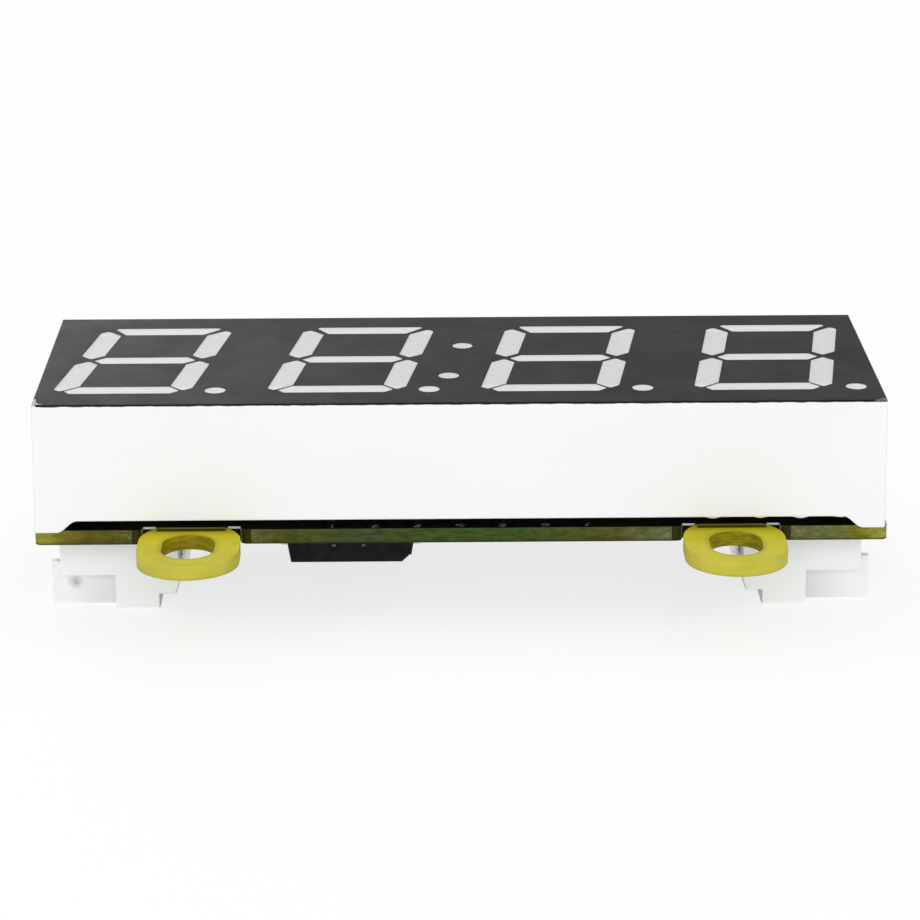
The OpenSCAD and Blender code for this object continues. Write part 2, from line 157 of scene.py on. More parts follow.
class Finish:
    """A surface finish: one shader, and the patterns that vary it over the piece."""

    def __init__(self, name, colour, **values):
        self.material = bpy.data.materials.new(name)
        self.material.use_nodes = True
        self.tree = self.material.node_tree
        self.shader = self.tree.nodes["Principled BSDF"]
        self.place = self.tree.nodes.new("ShaderNodeTexCoord").outputs["Object"]
        self.shader.inputs["Base Color"].default_value = (*colour, 1)
        for socket, value in values.items():
            self.shader.inputs[socket.replace("_", " ")].default_value = value

    def node(self, kind, settings, *inputs):
        """A new node's first output. Each input is a value, or another node's output to link."""
        node = self.tree.nodes.new("ShaderNode" + kind)
        for key, value in settings.items():
            setattr(node, key, value)
        for socket, value in zip([s for s in node.inputs if s.enabled], inputs):
            if isinstance(value, bpy.types.NodeSocket):
                self.tree.links.new(value, socket)
            elif value is not None:
                socket.default_value = value
        return next(output for output in node.outputs if output.enabled)

    def grain(self, size, detail=3.0, squeeze=(1, 1, 1)):
        """Soft noise from 0 to 1 in patches about size millimetres across, less where squeezed."""
        squeezed = self.node("Mapping", {}, self.place, (0, 0, 0), (0, 0, 0), squeeze)
        return self.node("TexNoise", {}, squeezed, 1 / (size * MM), detail)

    def maths(self, operation, *inputs):
        """One step of arithmetic on values or patterns."""
        return self.node("Math", {"operation": operation}, *inputs)

    def over(self, value, limit):
        """1 where value is over the limit, and 0 elsewhere."""
        return self.maths("GREATER_THAN", value, limit)

    def under(self, value, limit):
        """1 where value is under the limit, and 0 elsewhere."""
        return self.maths("LESS_THAN", value, limit)

    def both(self, first, second):
        """What these two patterns have in common."""
        return self.maths("MULTIPLY", first, second)

    def either(self, first, second):
        """The stronger of these two patterns."""
        return self.maths("MAXIMUM", first, second)

    def distance(self, across, along):
        """How far away a point is that lies this far across and this far along."""
        squares = [self.maths("POWER", each, 2.0) for each in (across, along)]
        return self.maths("SQRT", self.maths("ADD", *squares))

    def between(self, value, low, high, start=0.0, end=1.0):
        """value's range low to high, turned smoothly into start to end."""
        return self.node("MapRange", {"interpolation_type": "SMOOTHSTEP"}, value, low, high, start, end)

    def paint(self, factor, first, second):
        """A colour that goes from first to second as factor goes from 0 to 1."""
        node = self.tree.nodes.new("ShaderNodeMix")
        node.data_type = "RGBA"
        for socket, value in zip((node.inputs[0], node.inputs[6], node.inputs[7]), (factor, first, second)):
            if isinstance(value, bpy.types.NodeSocket):
                self.tree.links.new(value, socket)
            else:
                socket.default_value = value if isinstance(value, float) else (*value, 1)
        return node.outputs[2]

    def axes(self):
        """The piece's own x, y and z, in millimetres."""
        scaled = self.node("VectorMath", {"operation": "SCALE"}, self.place, 1 / MM)
        return self.node("SeparateXYZ", {}, scaled).node.outputs

    def facing(self):
        """The x, y and z of the direction in which the surface faces."""
        normal = self.node("NewGeometry", {}).node.outputs["Normal"]
        return self.node("SeparateXYZ", {}, normal).node.outputs

    def drive(self, socket, value):
        """Let a pattern set one of the shader's sockets."""
        self.tree.links.new(value, self.shader.inputs[socket])

    def mottle(self, dark, light, size, detail=3.0, low=0.3, high=0.7):
        """Let the colour wander from dark to light in patches of this size."""
        patches = self.between(self.grain(size, detail), low, high)
        self.drive("Base Color", self.paint(patches, dark, light))

    def vary_gloss(self, low, high, size, detail=3.0):
        """Let the roughness wander from low to high in patches of this size."""
        self.drive("Roughness", self.between(self.grain(size, detail), 0.3, 0.7, low, high))

    def relief(self, height, depth):
        """Bumps of this depth, in millimetres, where height is 1."""
        bump = self.node("Bump", {}, 1.0, depth * MM)
        self.tree.links.new(height, bump.node.inputs["Height"])
        self.drive("Normal", bump)


def white_plastic(name, pale, shaded, gloss):
    """Opaque white moulding: faint flow marks and a fine spark-eroded texture."""
    finish = Finish(name, pale, IOR=1.5)
    flow = finish.between(finish.grain(7.0, 4.0, (0.5, 1, 1)), 0.35, 0.65)
    finish.tone = finish.paint(flow, shaded, pale)
    finish.drive("Base Color", finish.tone)
    finish.vary_gloss(gloss, gloss + 0.12, 1.6)
    finish.relief(finish.grain(0.22, 2.0), 0.003)
    return finish


def on_outer_edge(middle):
    """True for an edge at the outside of the display, and not for the wells' edges."""
    beside = min(middle.x - shell_low.x, shell_high.x - middle.x)
    before = min(middle.y - shell_low.y, shell_high.y - middle.y)
    return min(beside, before) < edge_depth


shell_white = white_plastic("shell_white", (0.905, 0.905, 0.91), (0.89, 0.89, 0.895), 0.34)

# The face's ink runs over the rounded front edge and ends there in an uneven line
x, y, z = shell_white.axes()
ink_end = shell_white.between(shell_white.grain(0.8, 5.0, (1, 0.1, 0.1)), 0.3, 0.7, 0.045, 0.085)
over_edge = shell_white.under(shell_white.maths("SUBTRACT", shell_high.z, z), ink_end)
at_front = shell_white.under(y, shell_low.y + 0.3)
over_edge = shell_white.both(over_edge, at_front)
unchipped = shell_white.over(x, shell_low.x + 0.36)
over_edge = shell_white.both(over_edge, unchipped)
rubbed_edge = shell_white.between(x, shell_high.x - 0.9, shell_high.x - 0.5)

# It also runs a hair's breadth down the mouth of every well
in_mouth = shell_white.both(shell_white.over(z, shell_high.z - 0.03),
                            shell_white.over(y, shell_low.y + 0.5))
inked = shell_white.either(over_edge, in_mouth)
edge_ink = shell_white.paint(rubbed_edge, (0.012, 0.012, 0.013), (0.13, 0.13, 0.13))
shell_white.drive("Base Color", shell_white.paint(inked, shell_white.tone, edge_ink))

shell = moulded_copy("display_shell", "shell_moulding", shell_edge_r, on_outer_edge)
fit(shell, shell_white.material, ["display_shell"])


# --- Runs of resin on the front wall's lower edge -------------------------------------
# When the back of the display is potted, a little clear resin creeps over the wall's lower edge
# and cures there as low drips, as white as the wall behind them. Each one is a flattened ball,
# drawn out along the wall.

wall_gap = 0.72          # height of the wall's lower edge over the board
wall_foot_z = shell_low.z + wall_gap
drip_y = shell_low.y + 0.42
drip_half_width = 0.34
drip_spread = 1.35       # a drip is this much longer where it leaves the wall
drip_places = [(15.0, 0.42, 0.17), (17.8, 0.40, 0.15), (20.2, 0.42, 0.19), (22.6, 0.5, 0.12)]


def resin_drip(x, half_length, hang):
    """One low drip at x from the display's middle, hanging this far below the wall."""
    bpy.ops.mesh.primitive_uv_sphere_add(segments=24, ring_count=16, radius=1)
    drip = bpy.context.object
    drip.scale = (half_length, drip_half_width, hang)
    drip.location = (display_x + x, drip_y, wall_foot_z)
    bpy.ops.object.transform_apply(location=True, rotation=True, scale=True)
    edit_faces(drip, lambda centre, normal: centre.z > wall_foot_z - hang / 3)
    bpy.ops.transform.resize(value=(drip_spread, 1, 1),
                             center_override=(display_x + x, drip_y, wall_foot_z))
    bpy.ops.object.mode_set(mode="OBJECT")
    return drip


def joined(pieces, name):
    """Several shaped pieces as one, under this name."""
    bpy.ops.object.select_all(action="DESELECT")
    for piece in pieces:
        piece.select_set(True)
    bpy.context.view_layer.objects.active = pieces[0]
    bpy.ops.object.transform_apply(location=True, rotation=True, scale=True)
    if len(pieces) > 1:
        bpy.ops.object.join()
    pieces[0].name = name
    pieces[0].data.name = name
    return pieces[0]


drips = joined([resin_drip(*place) for place in drip_places], "wall_edge_drips")
fit(drips, shell_white.material)


# --- Black face -----------------------------------------------------------------------
# Matt black ink printed over the whole face and around every light well. It runs over the front
# edge, has come off the front left corner and is rubbed at the right one.

face_low, face_high = (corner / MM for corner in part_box("face_layer"))

face_ink = Finish("face_ink", (0.021, 0.021, 0.022), IOR=1.45, Specular_IOR_Level=0.04)
x, y, z = face_ink.axes()
cloud = face_ink.between(face_ink.grain(3.0, 5.0), 0.3, 0.7)
ink_tone = face_ink.paint(cloud, (0.0155, 0.0155, 0.0165), (0.021, 0.021, 0.022))
front_gap = face_ink.maths("SUBTRACT", y, face_low.y)
left_gap = face_ink.maths("SUBTRACT", x, face_low.x)
right_gap = face_ink.maths("SUBTRACT", face_high.x, x)
ragged = face_ink.between(face_ink.grain(0.5, 4.0), 0.3, 0.7)

# Where the film turns over the rounded front edge it is painted darker: painted shade for the sheen that
# the edge does not catch
painted_edge_shade = face_ink.maths("SUBTRACT", front_gap, face_ink.maths("MULTIPLY", ragged, 0.22))
painted_edge_shade = face_ink.between(painted_edge_shade, 0.02, 0.22, 1.0, 0.0)
ink_tone = face_ink.paint(painted_edge_shade, ink_tone, (0.006, 0.006, 0.006))

# Worn corners: chipped to the white plastic at the left, rubbed thin at the right
corner_gap = face_ink.maths("MULTIPLY_ADD", front_gap, 0.45, left_gap)
chipped = face_ink.under(corner_gap, face_ink.maths("MULTIPLY_ADD", ragged, 0.25, 0.45))
behind_edge = face_ink.over(front_gap, 0.16)
at_corner = face_ink.under(left_gap, face_ink.maths("MULTIPLY_ADD", ragged, 0.1, 0.16))
chipped = face_ink.both(chipped, face_ink.either(behind_edge, at_corner))
other_corner = face_ink.maths("MULTIPLY_ADD", front_gap, 1.35, right_gap)
rubbed = face_ink.under(other_corner, face_ink.maths("MULTIPLY_ADD", ragged, 0.5, 0.4))
speckle = face_ink.between(face_ink.grain(0.07, 2.0), 0.35, 0.65)
bared = face_ink.paint(speckle, (0.42, 0.42, 0.42), (0.74, 0.74, 0.74))
worn_thin = face_ink.paint(speckle, (0.03, 0.03, 0.03), (0.30, 0.30, 0.30))
ink_tone = face_ink.paint(rubbed, ink_tone, worn_thin)
face_ink.drive("Base Color", face_ink.paint(chipped, ink_tone, bared))
face_ink.vary_gloss(0.42, 0.48, 2.5, 4.0)
face_ink.relief(face_ink.grain(0.13, 2.0), 0.004)


def dress(node, finish):
    """Give a node that keeps its own form its finish."""
    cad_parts[node].data.materials.clear()
    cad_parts[node].data.materials.append(finish)


dress("face_layer", face_ink.material)


# --- Light bars and points ------------------------------------------------------------
# Milky epoxy cast into the wells, almost level with the ink. It scatters the light of the small
# die at the bottom of each well, and holds a little fine filler that shows as grain. The level
# bars look whiter than the upright ones.

bar_resin = Finish(
    "bar_resin", (0.79, 0.79, 0.785), IOR=1.53, Roughness=0.45, Specular_IOR_Level=0.04,
    Subsurface_Weight=0.25, Subsurface_Radius=(0.8, 0.8, 0.8), Subsurface_Scale=0.0005,
)
x, y, z = bar_resin.axes()
depth = bar_resin.maths("ABSOLUTE", y)
level_bar = bar_resin.either(bar_resin.between(depth, 0.45, 0.85, 1.0, 0.0),
                             bar_resin.between(depth, 5.5, 5.9))
filler = bar_resin.between(bar_resin.grain(0.28, 5.0), 0.3, 0.7)
upright_tone = bar_resin.paint(filler, (0.76, 0.76, 0.755), (0.825, 0.825, 0.82))
level_tone = bar_resin.paint(filler, (0.85, 0.85, 0.845), (0.895, 0.895, 0.89))
bar_resin.drive("Base Color", bar_resin.paint(level_bar, upright_tone, level_tone))
bar_resin.vary_gloss(0.41, 0.49, 0.8)
bar_resin.relief(bar_resin.grain(0.5, 2.0), 0.006)
bar_sink = 0.012         # the resin shrinks this far below the ink as it cures
dish_rim = 0.12
dish_depth = 0.015


def cured_resin(node, name):
    """The resin in these wells, its top drawn down into a shallow dish."""
    piece = moulded_copy(node, name)
    edit_faces(piece, lambda centre, normal: normal.z > 0.9 and centre.z > face_high.z - 0.01)
    bpy.ops.transform.translate(value=(0, 0, -bar_sink))
    bpy.ops.mesh.inset(thickness=dish_rim)
    bpy.ops.transform.translate(value=(0, 0, -dish_depth))
    bpy.ops.object.mode_set(mode="OBJECT")
    return piece


for node, name in (("digit_1", "bars_1"), ("digit_2", "bars_2"), ("digit_3", "bars_3"),
                   ("digit_4", "bars_4"), ("decimal_points", "points"), ("colon_dots", "colon")):
    fit(cured_resin(node, name), bar_resin.material, [node])


# --- LED board, its dice and the potting behind it ------------------------------------
# Inside the shell a thin printed board carries one gallium die under each well. Dark epoxy
# poured over its back seals the display and holds the pins.

inner_board = Finish("inner_board", (0.30, 0.36, 0.20), IOR=1.5, Roughness=0.5)
weave = inner_board.between(inner_board.grain(0.5, 2.0, (1, 3, 1)), 0.35, 0.65)
inner_board.drive("Base Color", inner_board.paint(weave, (0.24, 0.30, 0.15), (0.36, 0.42, 0.25)))
inner_board.relief(weave, 0.01)
dress("led_board", inner_board.material)

die_metal = Finish("die_metal", (0.75, 0.55, 0.20), Metallic=1.0, Roughness=0.35)
die_metal.mottle((0.62, 0.44, 0.16), (0.80, 0.62, 0.26), 0.08, 2.0, 0.4, 0.6)
dress("led_dice", die_metal.material)

# Its near black is partly the epoxy's own dark colour and partly painted shade for the gap under the
# display
potting = Finish("potting", (0.05, 0.05, 0.05), IOR=1.53, Roughness=0.3, Specular_IOR_Level=0.2)
potting.mottle((0.035, 0.035, 0.033), (0.065, 0.065, 0.062), 3.0, 4.0)
potting.relief(potting.grain(2.2, 2.0), 0.03)
dress("back_resin", potting.material)


# --- Display pins ---------------------------------------------------------------------
# Two rows of tinned steel wire run from the LED board through the circuit board. They are cut
# off just under it, so that their ends are bright.

board_low, board_high = (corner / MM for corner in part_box("circuit_board"))


def tinned(name, bright, dull, gloss, speck=0.35):
    """Tin over steel or copper: dull bloom and brighter rubbed places. On top of the board, under the
    display, it is painted near black and not metallic, as painted shade."""
    finish = Finish(name, bright, Specular_IOR_Level=0.1)
    x, y, z = finish.axes()
    below_shaded_top = finish.under(z, board_high.z - 0.01)
    bloom = finish.between(finish.grain(speck, 4.0), 0.35, 0.65)
    tin_tone = finish.paint(bloom, dull, bright)
    # Above the board's top the tin is painted near black: painted shade under the display
    finish.drive("Base Color", finish.paint(below_shaded_top, (0.008, 0.009, 0.005), tin_tone))
    finish.drive("Metallic", below_shaded_top)
    finish.vary_gloss(gloss, gloss + 0.2, speck * 2)
    finish.relief(finish.grain(speck / 2, 2.0), 0.006)
    return finish.material


pin_tin = tinned("pin_tin", (0.74, 0.73, 0.70), (0.58, 0.57, 0.55), 0.28)
wire_edge_r = 0.05
for row in ("front_pins", "rear_pins"):
    wires = moulded_copy(row, row.replace("pins", "pin_wires"), wire_edge_r)
    fit(wires, pin_tin, [row])


# --- Circuit board --------------------------------------------------------------------
# Glass and epoxy laminate, routed to shape and left bare and yellow on the four ears. Green
# solder mask covers both sides up to the necks, and the cut edges show the mottled glass cloth.

board_front = 9.0                 # half the board's depth without its ears
mask_front = board_front + 0.3    # the mask runs this far onto the necks
ear_x = 16.05
ear_y = 12.05
ear_half = 3.0
slot_half = 1.55
slot_straight = 0.55
neck_half = 2.05          # half the width of the masked strip across a neck
notch_wall_y = 8.45
notch_shade_reach = 0.55           # painted shade darkens the cut this far from a notch
white_rim_height = 0.13          # height of the white rim, partly broken glass and partly painted highlight
board_edge_r = 0.07
ear_edge_r = 0.2

laminate = Finish("laminate", (0.55, 0.50, 0.06), IOR=1.5, Specular_IOR_Level=0.1)
x, y, z = laminate.axes()
depth = laminate.maths("ABSOLUTE", y)
beside = laminate.maths("ABSOLUTE", laminate.maths("SUBTRACT", laminate.maths("ABSOLUTE", x), ear_x))
flat = laminate.between(laminate.maths("ABSOLUTE", laminate.facing()["Z"]), 0.6, 0.9)

# Cut edge: mottled glass cloth, from olive at the left through green to olive at the right
from_left = laminate.maths("SUBTRACT", x, board_low.x)
edge_tone = laminate.node("ValToRGB", {}, laminate.maths("DIVIDE", from_left, board_high.x - board_low.x))
edge_tones = [
    (0.01, (0.260, 0.260, 0.033)), (0.03, (0.165, 0.149, 0.018)), (0.06, (0.104, 0.090, 0.008)),
    (0.11, (0.083, 0.079, 0.006)), (0.25, (0.092, 0.102, 0.021)), (0.29, (0.069, 0.073, 0.008)),
    (0.37, (0.044, 0.066, 0.018)), (0.49, (0.042, 0.072, 0.014)), (0.57, (0.043, 0.072, 0.016)),
    (0.67, (0.073, 0.073, 0.010)), (0.74, (0.118, 0.132, 0.050)), (0.90, (0.129, 0.136, 0.046)),
    (0.94, (0.116, 0.131, 0.036)), (0.97, (0.185, 0.168, 0.015)), (0.99, (0.300, 0.300, 0.050)),
]
stops = edge_tone.node.color_ramp.elements
while len(stops) < len(edge_tones):
    stops.new(0.5)
for stop, (place, tone) in zip(stops, edge_tones):
    stop.position = place
for stop, (place, tone) in zip(stops, edge_tones):      # after all of them have found their order
    stop.color = (*tone, 1)
cloth = laminate.between(laminate.grain(0.75, 5.0, (1, 1, 2.2)), 0.32, 0.68)
threads = laminate.between(laminate.grain(0.16, 3.0, (0.35, 1, 1.8)), 0.3, 0.7)
for pattern, dark, light in ((cloth, (0.74, 0.76, 0.66), (1.26, 1.23, 1.3)),
                             (threads, (0.84, 0.85, 0.8), (1.16, 1.15, 1.2))):
    edge_tone = laminate.node("MixRGB", {"blend_type": "MULTIPLY"}, 1.0, edge_tone,
                              laminate.paint(pattern, dark, light))
fibre = laminate.between(laminate.grain(0.14, 2.0, (0.5, 1, 1.6)), 0.50, 0.66, 0.0, 0.3)
near_ear = laminate.between(beside, 3.5, 5.0, 1.0, 0.0)
edge_tone = laminate.paint(laminate.both(fibre, near_ear), edge_tone, (0.36, 0.37, 0.24))
# Towards the lower rim the cut edge is darker: partly the underside mask's edge, partly painted shade
for reach, strength in ((0.35, 0.3), (0.13, 0.65)):
    low_rim_mask_and_shade = laminate.between(z, board_low.z + 0.04, board_low.z + reach, strength, 0.0)
    edge_tone = laminate.paint(low_rim_mask_and_shade, edge_tone, (0.02, 0.02, 0.004))

# Beside an ear the cut turns into the notch: painted shade darkens it first, then a painted highlight
# lights the corner where it turns in, and the notch's own rear wall is painted black as shade, under a
# white rim that is partly broken glass and partly painted highlight
edge_tone = laminate.paint(laminate.under(beside, ear_half + notch_shade_reach), edge_tone,
                           (0.030, 0.030, 0.003))
edge_tone = laminate.paint(laminate.under(beside, ear_half - 0.02), edge_tone, (0.27, 0.26, 0.11))
rim = laminate.both(laminate.over(z, board_high.z - white_rim_height), laminate.over(beside, neck_half + 0.1))
notch_tone = laminate.paint(rim, (0.004, 0.005, 0.002), (0.62, 0.66, 0.64))
in_notch = laminate.both(laminate.under(beside, ear_half + 0.05),
                         laminate.under(depth, notch_wall_y + 0.06))
edge_tone = laminate.paint(in_notch, edge_tone, notch_tone)

# Bare ear: clear yellow under the skin of resin. Its top is painted lighter and its routed sides darker, as
# painted light and shade. Painted shade darkens it along the slot's rim and the lower edge, and the wall of
# the slot is a rough dark olive, partly its own drilled colour and partly painted shade
streak = laminate.between(laminate.grain(2.2, 4.0), 0.3, 0.7)
lit_top_tone = laminate.paint(streak, (0.600, 0.533, 0.022), (0.690, 0.622, 0.034))
shaded_side_tone = laminate.paint(streak, (0.515, 0.468, 0.054), (0.605, 0.558, 0.078))
lower_rim_shade = laminate.between(z, board_low.z + 0.04, board_low.z + 0.2, 0.3, 0.0)
shaded_side_tone = laminate.paint(lower_rim_shade, shaded_side_tone, (0.300, 0.260, 0.025))
yellow = laminate.paint(flat, shaded_side_tone, lit_top_tone)
off_middle = laminate.maths("ABSOLUTE", laminate.maths("SUBTRACT", depth, ear_y))
past_end = laminate.maths("MAXIMUM", laminate.maths("SUBTRACT", off_middle, slot_straight), 0.0)
from_slot = laminate.distance(past_end, beside)
in_slot = laminate.under(from_slot, slot_half + 0.03)
slot_rim_shade = laminate.between(from_slot, slot_half, slot_half + 0.38, 0.45, 0.0)
yellow = laminate.paint(slot_rim_shade, yellow, (0.330, 0.290, 0.020))
drilled = laminate.between(laminate.grain(0.5, 4.0, (0.6, 0.6, 3)), 0.35, 0.65)
slot_tone = laminate.paint(drilled, (0.190, 0.158, 0.003), (0.310, 0.258, 0.006))
ear_tone = laminate.paint(laminate.both(in_slot, laminate.maths("SUBTRACT", 1.0, flat)),
                          yellow, slot_tone)

# Solder mask: green over copper, darker over bare laminate, and on the top, under the display, painted near
# black as shade. It ends across each neck in an olive strip, partly thin mask over laminate and partly
# painted shade, with a lighter line behind
poured = laminate.between(laminate.grain(9.0, 1.0), 0.45, 0.5)
mask_tone = laminate.paint(poured, (0.010, 0.062, 0.022), (0.014, 0.090, 0.034))
painted_top_shade = laminate.over(z, (board_low.z + board_high.z) / 2)
mask_tone = laminate.paint(painted_top_shade, mask_tone, (0.003, 0.007, 0.003))
bare_end = laminate.over(laminate.maths("ABSOLUTE", x), board_high.x - 0.35)
mask_tone = laminate.paint(laminate.both(bare_end, painted_top_shade), mask_tone, (0.45, 0.45, 0.30))
on_neck = laminate.between(beside, neck_half - 0.04, neck_half + 0.04, 1.0, 0.0)
for start, end, tone in ((8.52, 8.60, (0.50, 0.45, 0.10)), (8.76, 8.84, (0.12, 0.10, 0.012))):
    strip = laminate.both(on_neck, laminate.between(depth, start, end))
    mask_tone = laminate.paint(strip, mask_tone, tone)
past_mask = laminate.both(laminate.over(depth, mask_front), laminate.under(beside, ear_half + 0.2))
in_front = laminate.both(laminate.over(depth, notch_wall_y + 0.06),
                         laminate.under(beside, ear_half - 0.12))
unmasked = laminate.either(laminate.maths("SUBTRACT", 1.0, flat), laminate.over(beside, neck_half))
edge_is_ear = laminate.either(past_mask, laminate.both(in_front, unmasked))
body_tone = laminate.paint(flat, edge_tone, mask_tone)
laminate.drive("Base Color", laminate.paint(edge_is_ear, body_tone, ear_tone))
laminate.drive("Roughness", laminate.between(flat, 0.0, 1.0, 0.62, 0.42))
laminate.relief(laminate.grain(0.3, 3.0, (1, 1, 2)), 0.008)


def on_ear_outline(middle):
    """True for the outer edges of an ear, up to its notches."""
    aside = abs(abs(middle.x) - ear_x)
    beyond = max(abs(abs(middle.y) - ear_y) - slot_straight, 0)
    return abs(middle.y) > notch_wall_y + 0.05 and aside < ear_half + 0.05 and hypot(aside, beyond) > 2


board = moulded_copy("circuit_board", "board_laminate", ear_edge_r, on_ear_outline, 3)
round_edges(board, board_edge_r,
            lambda middle: abs(middle.y) > notch_wall_y - 0.1 or abs(middle.x) > board_high.x - 0.5)
fit(board, laminate.material, ["circuit_board"])


# --- Copper pads ----------------------------------------------------------------------
# Rings around the pins and flat pads for the small parts, etched from the board's copper. They
# are left free of mask and dipped in tin, which sets with a slightly uneven skin.

pad_tin = tinned("pad_tin", (0.72, 0.71, 0.68), (0.52, 0.51, 0.49), 0.22, 0.5)
dress("copper_pads", pad_tin)


# --- Tracks and vias under the board --------------------------------------------------
# The copper between pins, chip and sockets shows through the mask as slightly raised lines with
# 45 degree bends. A small plated via ends each line that carries on inside the board.

track_z = board_low.z
track_w = 0.32
track_rise = 0.035
via_r = 0.3
routes = [
    # from the right-hand leads of the chip
    [(-1.8, -4.795), (-0.6, -4.795), (0, -5.395), (0, -7.62)],
    [(-1.8, -3.525), (0.0, -3.525), (0.7, -4.225), (0.7, -4.6), (2.54, -6.44), (2.54, -7.62)],
    [(-1.8, -2.255), (-0.2, -2.255), (0.25, -1.8), (1.6, -1.8)],
    [(-1.8, -0.985), (0.2, -0.985), (0.6, -0.6), (3.2, -0.6), (3.8, -1.2), (4.8, -1.2)],
    [(-1.8, 0.285), (13.0, 0.285), (13.3, 0), (16.75, 0)],
    [(-1.8, 1.555), (0.3, 1.555), (0.55, 1.8), (1.6, 1.8)],
    [(-1.8, 2.825), (0.0, 2.825), (0.7, 3.525), (0.7, 4.6), (2.54, 6.44), (2.54, 7.62)],
    [(-1.8, 4.095), (-0.7, 4.095), (0, 4.795), (0, 7.62)],
    # from the left-hand leads of the chip
    [(-11.4, -4.795), (-12.05, -4.795), (-12.6, -5.345), (-12.6, -6.2), (-11.2, -7.62), (-7.62, -7.62)],
    [(-11.4, -3.525), (-7.2, -3.525), (-5.08, -5.645), (-5.08, -7.62)],
    [(-11.4, -2.255), (-6.0, -2.255), (-3.9, -4.355), (-3.9, -4.9), (-2.54, -6.26), (-2.54, -7.62)],
    [(-11.4, -0.985), (-12.4, -0.985), (-13.4, -2.0), (-16.75, -2.0)],
    [(-11.4, 0.285), (-12.7, 0.285), (-13.2, 0.8), (-14, 0.8)],
    [(-11.4, 1.555), (-13.0, 1.555), (-13.45, 2.0), (-16.75, 2.0)],
    [(-11.4, 2.825), (-7.9, 2.825), (-5.08, 5.645), (-5.08, 7.62)],
    [(-11.4, 4.095), (-12.05, 4.095), (-12.6, 4.645), (-12.6, 6.2), (-11.2, 7.62), (-7.62, 7.62)],
    # between the small parts, the sockets and the vias
    [(6.4, -3.2), (9.2, -3.2)],
    [(6.4, -1.2), (9.2, -1.2)],
    [(10.8, -3.2), (12.6, -3.2), (13.4, -4.0), (16.75, -4.0)],
    [(10.8, -1.2), (13.0, -1.2), (13.8, -2.0), (16.75, -2.0)],
    [(4.8, -3.2), (3.9, -3.2), (3.4, -3.7), (3.4, -5.2), (5.08, -6.88), (5.08, -7.62)],
    [(16.75, 2), (12.0, 2), (9.9, 4.1), (9.9, 5.34), (7.62, 7.62)],
    [(16.75, 4), (12.8, 4)],
    [(5.08, 7.62), (5.08, 5.6), (6.4, 4.28), (7.2, 4.28)],
    [(7.62, -7.62), (7.62, -5.2)],
    [(-2.54, 7.62), (-2.54, 5.9)],
    [(-16.75, -4), (-14.8, -4), (-14.2, -4.6)],
    [(-16.75, 4), (-14.8, 4), (-14.2, 4.6)],
    [(-16.75, 0), (-15.5, 0), (-14.7, -0.8), (-14, -0.8)],
    [(1.6, 3.4), (2.4, 3.4), (3.1, 4.1), (3.1, 4.9)],
    [(1.6, -3.4), (2.3, -4.1)],
]
via_places = [
    (12.8, 4), (7.2, 4.28), (7.62, -5.2), (-2.54, 5.9), (-14.2, -4.6), (-14.2, 4.6), (3.1, 4.9),
    (2.3, -4.1), (11.6, -5.9), (-9.6, 6.4), (5.9, 1.9), (9.8, 6.9),
]


def laid_track(route):
    """A line drawn from corner to corner, thickened to a wire and pressed flat on the board."""
    (x, y), rest = route[0], route[1:]
    bpy.ops.mesh.primitive_plane_add(size=1, location=(x, y, track_z))
    track = bpy.context.object
    bpy.ops.object.transform_apply(location=True, rotation=False, scale=False)
    bpy.ops.object.mode_set(mode="EDIT")
    bpy.ops.mesh.select_mode(type="VERT")
    bpy.ops.mesh.select_all(action="SELECT")
    bpy.ops.mesh.merge(type="CENTER")
    for next_x, next_y in rest:
        bpy.ops.mesh.extrude_vertices_move(TRANSFORM_OT_translate={"value": (next_x - x, next_y - y, 0)})
        x, y = next_x, next_y
    bpy.ops.object.mode_set(mode="OBJECT")
    bpy.ops.object.convert(target="CURVE")
    track.data.bevel_depth = track_w / 2
    track.data.bevel_resolution = 2
    track.data.use_fill_caps = True
    bpy.ops.object.convert(target="MESH")
    close_seams(track)
    edit(track)
    bpy.ops.transform.resize(value=(1, 1, 2 * track_rise / track_w), center_override=(0, 0, track_z))
    bpy.ops.object.mode_set(mode="OBJECT")
    return track


masked_copper = Finish("masked_copper", (0.018, 0.150, 0.058), IOR=1.5, Roughness=0.3)
masked_copper.mottle((0.014, 0.125, 0.048), (0.024, 0.175, 0.070), 1.2)
masked_copper.relief(masked_copper.grain(0.25, 2.0), 0.004)
tracks = joined([laid_track(route) for route in routes], "underside_tracks")
fit(tracks, masked_copper.material)


def copied(piece, places):
    """This piece at the first of these places, and a copy with its own mesh at each of the others."""
    piece.location = places[0]
    pieces = [piece]
    for place in places[1:]:
        pick(piece)
        bpy.ops.object.duplicate()
        pieces.append(bpy.context.object)
        pieces[-1].location = place
    return pieces


def plated_via():
    """A low ring of tin around a dimple."""
    bpy.ops.mesh.primitive_cylinder_add(vertices=24, radius=via_r, depth=0.05)
    via = bpy.context.object
    edit_faces(via, lambda centre, normal: normal.z < -0.9)
    bpy.ops.mesh.inset(thickness=0.04)
    bpy.ops.transform.translate(value=(0, 0, -0.012))
    bpy.ops.mesh.inset(thickness=0.1)
    bpy.ops.mesh.inset(thickness=0.03)
    bpy.ops.transform.translate(value=(0, 0, 0.05))
    bpy.ops.object.mode_set(mode="OBJECT")
    return via


vias = joined(copied(plated_via(), [(x, y, track_z - 0.02) for x, y in via_places]), "plated_vias")
fit(vias, pad_tin)


# --- White print ----------------------------------------------------------------------
# The screen printed legend: pin numbers along the display's front row on top, and outlines, pin
# numbers and pin 1 marks of the parts underneath.

print_t = 0.02
board_top = board_high.z
pin_pitch = 2.54
numbers_y = -8.4
numbers_h = 0.78


